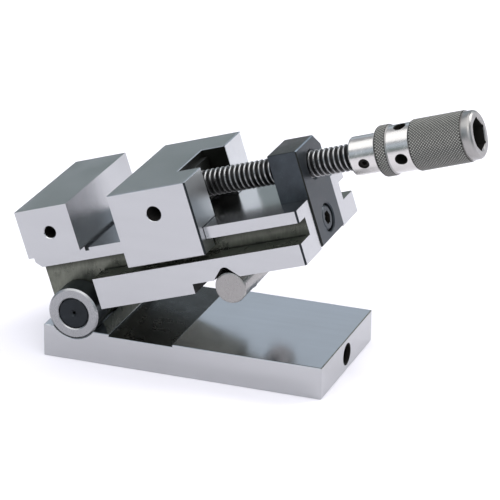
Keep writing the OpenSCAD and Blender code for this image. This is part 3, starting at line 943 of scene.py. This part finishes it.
class SINEVISE_OT_nut_block(bpy.types.Operator):
    """Blackened nut block with its plain bore and the screw that holds it"""

    bl_idname = "sinevise.nut_block"
    bl_label = "Nut block"

    def execute(self, context):
        low, high, cut = BLOCK_LOW, BLOCK_HIGH, 4.2
        block = prism("drive_nut", [
            (low.y, low.z), (high.y, low.z), (high.y, high.z - cut), (high.y - cut, high.z),
            (low.y, high.z)], low.x, high.x, "X")
        soften_block(block, lambda middle: middle.x > high.x - 0.05)
        # Painted highlight: the bevels along the top edge at the screw's end take a lighter black
        # oxide.
        paint(block, "rubbed_and_highlight", lambda middle, normal: normal.x > 0.3 and normal.z > 0.3)
        # Painted shade: the top face, and the bevels of the upright corners at the screw's end, are
        # painted near black.
        paint(block, "pocket", lambda middle, normal: normal.z > 0.6 and normal.x < 0.3
              or on_corner(middle, normal) and abs(normal.z) < 0.3)
        bore_r, long = SCREW_R + RUNNING, high.x - low.x
        bore = turned("bore", [
            (-1, 0), (-1, bore_r + 0.6), (0, bore_r + 0.6), (0.6, bore_r), (long - 0.6, bore_r),
            (long, bore_r + 0.6), (long + 1, bore_r + 0.6), (long + 1, 0)], 64)
        combine(block, move(bore, at(low.x, 0, SCREW_UP)))
        thread, head, tall = M5[:3]
        wide, narrow, deep, c = head / 2 + HEAD_ROOM, thread / 2 + FITTED, tall + 0.4, 0.35
        seat = turned("seat", [
            (-1, 0), (-1, wide + c), (0, wide + c), (c, wide), (deep, wide), (deep, narrow),
            (long + 1, narrow), (long + 1, 0)], 64)
        combine(block, move(seat, at(high.x, 0, BLOCK_SCREW_UP, "-X")))
        dowel_r, dowel_y, dowel_up = 1.5, 7.2, 14.2
        for side in (-1, 1):
            hole = rod("hole", dowel_r + FITTED, -1, 5.4)
            combine(block, move(hole, at(low.x, side * dowel_y, dowel_up)))
        finish(block, material("black_tilted"), "body", ["nut_block"], BODY)
        bolt = cap_screw("block_bolt", M5, 12)
        finish(bolt, material("black_tilted"), "body", ["nut_block_screw"],
               BODY @ at(high.x - deep, 0, BLOCK_SCREW_UP, "-X"))
        return {"FINISHED"}


class SINEVISE_OT_drive_screw(bpy.types.Operator):
    """Drive screw: its thread, its nose and the tail that carries the handle"""

    bl_idname = "sinevise.drive_screw"
    bl_label = "Drive screw"

    def execute(self, context):
        pitch, deep = sizes().pitch, sizes().thread_depth
        start, end = span("nose_plate")[1].x + 0.1, HANDLE_LOW.x
        root = SCREW_R - deep
        turns = math.ceil((end - start) / pitch) + 1
        first = start - pitch
        # One tooth's outline, with the distance along it in pitches.
        tooth = [(0, root), (0.10, root), (0.42, SCREW_R), (0.60, SCREW_R), (0.92, root), (1, root)]
        thread = chain("drive_thread", [(first + a * pitch, 0, r) for a, r in tooth])
        bpy.ops.object.mode_set(mode="OBJECT")
        bpy.ops.object.modifier_add(type="SCREW")
        coil = thread.modifiers[-1]
        coil.axis = "X"
        coil.angle = math.tau
        coil.screw_offset = pitch * MM
        coil.iterations = turns + 1
        coil.steps = coil.render_steps = 40
        coil.use_merge_vertices = True
        coil.merge_threshold = 1e-6
        bpy.ops.object.modifier_apply(modifier=coil.name)
        edit(thread)
        bpy.ops.mesh.select_all(action="SELECT")
        bpy.ops.mesh.remove_doubles(threshold=2e-6)
        edit(thread, "EDGE")
        bpy.ops.mesh.select_non_manifold()
        bpy.ops.mesh.fill()
        bpy.ops.mesh.select_mode(type="VERT")
        close_up()
        c = 0.9
        sleeve = turned("sleeve", [
            (start, 0), (start, SCREW_R - c), (start + c, SCREW_R + 0.2), (end - 0.3, SCREW_R + 0.2),
            (end, SCREW_R - 0.1), (end, 0)], 64)
        combine(thread, sleeve, "INTERSECT")
        finish(thread, material("thread_steel"), "screw", ["lead_screw"],
               ON_SCREW)

        face = span("nose_plate")[0].x
        low, nose_r, neck_r = SCREW_LOW.x, 3.8, 2.5
        nose = turned("screw_nose", [
            (low, 0), (low, nose_r - 0.5), (low + 0.5, nose_r), (face - 0.4, nose_r),
            (face - 0.1, nose_r - 0.3), (face - 0.1, neck_r), (start + 0.2, neck_r),
            (start + 0.2, 0)], 64)
        finish(nose, material("polished_screw"), "screw", ["lead_screw"], ON_SCREW)
        tail = turned("screw_tail", [
            (end - 0.2, 0), (end - 0.2, TAIL_R), (SCREW_HIGH.x - 0.4, TAIL_R),
            (SCREW_HIGH.x, TAIL_R - 0.4), (SCREW_HIGH.x, 0)], 48)
        finish(tail, material("polished_screw"), "screw", ["lead_screw"], ON_SCREW)
        return {"FINISHED"}


def knurl(piece, bands, steps):
    """Raises every other point of the bands' grid, which leaves diamonds between valleys."""
    edit(piece)
    mesh = bmesh.from_edit_mesh(piece.data)
    for vert in mesh.verts:
        for low, step, count in bands:
            row = (vert.co.x / MM - low) / step
            if 0.5 < row < count - 0.5:
                column = math.atan2(vert.co.z, vert.co.y) / math.tau * steps
                odd = (round(row) + round(column)) % 2
                vert.select_set(odd == 1)
    mesh.select_flush_mode()
    bmesh.update_edit_mesh(piece.data)
    grow = 1 + sizes().knurl_depth / (GRIP_R - sizes().knurl_depth)
    bpy.ops.transform.resize(value=(1, grow, grow), center_override=(0, 0, 0))
    bpy.ops.mesh.select_all(action="SELECT")
    bpy.ops.mesh.quads_convert_to_tris(quad_method="SHORTEST_DIAGONAL")
    bpy.ops.object.mode_set(mode="OBJECT")


class SINEVISE_OT_handle(bpy.types.Operator):
    """Handle: plain sleeve, knurled ring, neck with cross holes and knurled grip"""

    bl_idname = "sinevise.handle"
    bl_label = "Handle"

    def execute(self, context):
        low, high = HANDLE_LOW.x, HANDLE_HIGH.x
        ring_at, neck_at, grip_at, end_at = low + 9.4, low + 14.0, low + 21.0, low + 39.0
        sleeve_r, neck_r, c = 6.3, 7.7, 0.5
        root = GRIP_R - sizes().knurl_depth
        steps = 4 * round(math.pi * GRIP_R / sizes().knurl)
        cell = sizes().knurl / 2
        turn = ON_SCREW @ Matrix.Rotation(math.radians(12), 4, "X")

        def band(start, end):
            count = round((end - start) / cell)
            step = (end - start) / count
            return (start, step, count), [(start + step * i, root) for i in range(count + 1)]

        ring_band, ring_rows = band(ring_at + c, neck_at - c)
        grip_band, grip_rows = band(grip_at + c, end_at)
        sleeve = turned("handle_sleeve", [
            (low, 0), (low, sleeve_r - c), (low + c * 0.3, sleeve_r - c * 0.3),
            (low + c, sleeve_r), (ring_at + 0.2, sleeve_r), (ring_at + 0.2, 0)], 96)
        ring = turned("handle_ring", [
            (ring_at, 0), (ring_at, root - c), *ring_rows, (neck_at, root - c),
            (neck_at, 0)], steps)
        knurl(ring, [ring_band], steps)
        neck = rod("handle_neck", neck_r, neck_at - 0.2, grip_at + 0.2, 96)
        grip = turned("handle_grip", [
            (grip_at, 0), (grip_at, root - c), *grip_rows, (end_at, root - 0.35),
            (end_at, 0)], steps)
        knurl(grip, [grip_band], steps)
        for piece in (ring, grip):
            paint(piece, "cap_steel", lambda middle, normal: abs(normal.x) > 0.6)
        cap_r, groove_r = GRIP_R - 0.5, root - 0.35
        cap = turned("handle_cap", [
            (end_at - 0.2, 0), (end_at - 0.2, groove_r), (end_at + 0.3, groove_r),
            (end_at + 0.6, cap_r), (high - 1.0, cap_r), (high - 0.45, cap_r - 0.25),
            (high, cap_r - 0.8), (high, 0)], 96)
        socket = move(hex_key_hole(9.5, 9), at(high, 0, 0, "-X"))
        flare = turned("flare", [(high - 0.3, 0), (high - 0.3, 5.1), (high + 0.5, 5.9),
                                 (high + 0.5, 0)], 64)
        for piece, cutters in ((cap, (socket, flare)), (grip, (copy_of(socket, "socket_copy"),))):
            for cutter in cutters:
                combine(piece, cutter)
        tommy, hole_r = low + 17.9, 1.85
        half = [(10, 0), (10, 4), (neck_r + 0.1, hole_r + 0.3), (neck_r - 0.35, hole_r)]
        for quarter in (0, 1):
            hole = hollow(turned("hole", [(-a, r) for a, r in half] + half[::-1], 48))
            move(hole, Matrix.Rotation(math.pi / 2 * quarter, 4, "X") @ at(tommy, 0, 0, "Y"))
            combine(neck, hole)
        tail = rod("tail", TAIL_R + FITTED, low - 1, SCREW_HIGH.x + FITTED, 48)
        combine(ring, copy_of(tail, "tail_copy"))
        combine(sleeve, tail)
        screw_hole = hollow(turned("hole", [
            (0, 0), (0, 1.62), (5.9, 1.62), (6.6, 2.0), (6.6, 0)], 32))
        combine(sleeve, move(screw_hole, at(low + 4.7, 0, 0, "-Y")))
        for piece, finish_name in ((sleeve, "polished_screw"), (ring, "knurl_steel"),
                                   (neck, "polished_screw"), (grip, "knurl_steel"),
                                   (cap, "cap_steel")):
            slot = "knurled_steel" if finish_name == "knurl_steel" else "polished_steel"
            finish(piece, material(finish_name), "screw", ["handle"], turn,
                   KNURL_SMOOTH if slot == "knurled_steel" else SMOOTH)
        return {"FINISHED"}


class SINEVISE_OT_small_parts(bpy.types.Operator):
    """Finishes for the small CAD pieces that keep their own shape"""

    bl_idname = "sinevise.small_parts"
    bl_label = "Small parts"

    def execute(self, context):
        looks = {
            "tilt_lock_screw": "black_tilted", "lock_pad": "brass",
            "nut_block_dowels": "polished_screw", "nose_thrust_disc": "polished_screw",
            # Painted shade: the nose plate in the jaw's pocket and the set screw in its hole are
            # painted near black.
            "nose_plate": "pocket", "handle_set_screw": "hole",
        }
        for node, name in looks.items():
            mesh = frame["nodes"][node].data
            mesh.materials.clear()
            mesh.materials.append(material(name))
        return {"FINISHED"}


class SINEVISE_OT_stage(bpy.types.Operator):
    """Pale floor, soft studio light and the camera"""

    bl_idname = "sinevise.stage"
    bl_label = "Studio"

    def execute(self, context):
        clear()
        bpy.ops.mesh.primitive_plane_add(size=8)
        floor = bpy.context.object
        floor.name = "studio_floor"
        floor.data.materials.append(floor_finish(finishes().floor))

        world = bpy.data.worlds.new("studio")
        context.scene.world = world
        world.use_nodes = True
        tree = world.node_tree
        tree.nodes.clear()
        out = tree.nodes.new("ShaderNodeOutputWorld")
        sky = tree.nodes.new("ShaderNodeBackground")
        ramp = tree.nodes.new("ShaderNodeValToRGB")
        split = tree.nodes.new("ShaderNodeSeparateXYZ")
        spot = tree.nodes.new("ShaderNodeTexCoord")
        tree.links.new(spot.outputs["Generated"], split.inputs[0])
        tree.links.new(split.outputs["Z"], ramp.inputs[0])
        tree.links.new(ramp.outputs[0], sky.inputs[0])
        tree.links.new(sky.outputs[0], out.inputs[0])
        stops = ((0.0, (0.235, 0.275, 0.27)), (0.16, (0.34, 0.40, 0.41)),
                 (0.38, (0.76, 0.87, 1.0)), (0.6, (0.5, 0.52, 0.55)), (1.0, (0.7, 0.7, 0.72)))
        while len(ramp.color_ramp.elements) < len(stops):
            ramp.color_ramp.elements.new(0.5)
        for element, (place, colour) in zip(ramp.color_ramp.elements, stops):
            element.position = place
            element.color = (*colour, 1)
        sky.inputs["Strength"].default_value = 0.95

        for name, spot, size, power in (
                ("overhead", (-0.1, -0.15, 0.95), 1.5, 9.5),
                ("front_right", (0.5, -1.5, 0.9), 2.6, 12.0),
                ("back_right", (0.75, 0.75, 0.7), 0.6, 7.0)):
            bpy.ops.object.light_add(type="AREA", location=spot)
            light = bpy.context.object
            light.name = name
            light.data.size = size
            light.data.energy = power
            aim = Vector((0.45, 0.55, 0)) if name == "back_right" else Vector()
            light.rotation_euler = (aim - Vector(spot)).to_track_quat("-Z", "Y").to_euler()

        bpy.ops.object.camera_add(
            location=(0.34389, -0.90418, 0.42841),
            rotation=[math.radians(a) for a in (67.85892, -0.61363, 20.28683)])
        camera = bpy.context.object
        camera.data.lens = 230.8734
        camera.data.clip_start, camera.data.clip_end = 0.01, 50
        context.scene.camera = camera
        context.scene.view_settings.view_transform = "Standard"
        return {"FINISHED"}


class SINEVISE_PT_panel(bpy.types.Panel):
    """Lists the pieces, sizes and finishes"""

    bl_label = "Sine vise"
    bl_idname = "SINEVISE_PT_panel"
    bl_space_type = "VIEW_3D"
    bl_region_type = "UI"
    bl_category = "Sine vise"

    def draw(self, context):
        for piece in PIECES:
            self.layout.operator(piece.bl_idname)
        for group in (context.scene.sinevise_sizes, context.scene.sinevise_finishes):
            for name in group.__annotations__:
                self.layout.prop(group, name)


GROUPS = (SINEVISE_PG_sizes, SINEVISE_PG_finishes)
PIECES = (
    SINEVISE_OT_base, SINEVISE_OT_hinge, SINEVISE_OT_body, SINEVISE_OT_roller,
    SINEVISE_OT_jaw, SINEVISE_OT_nut_block, SINEVISE_OT_drive_screw, SINEVISE_OT_handle,
    SINEVISE_OT_small_parts, SINEVISE_OT_stage,
)


def register():
    for item in (*GROUPS, *PIECES, SINEVISE_PT_panel):
        bpy.utils.register_class(item)
    bpy.types.Scene.sinevise_sizes = bpy.props.PointerProperty(type=SINEVISE_PG_sizes)
    bpy.types.Scene.sinevise_finishes = bpy.props.PointerProperty(type=SINEVISE_PG_finishes)


def unregister():
    del bpy.types.Scene.sinevise_sizes
    del bpy.types.Scene.sinevise_finishes
    for item in (SINEVISE_PT_panel, *reversed(PIECES), *reversed(GROUPS)):
        bpy.utils.unregister_class(item)


def main():
    register()
    for piece in PIECES:
        group, name = piece.bl_idname.split(".")
        getattr(getattr(bpy.ops, group), name)()


if __name__ == "__main__":
    main()
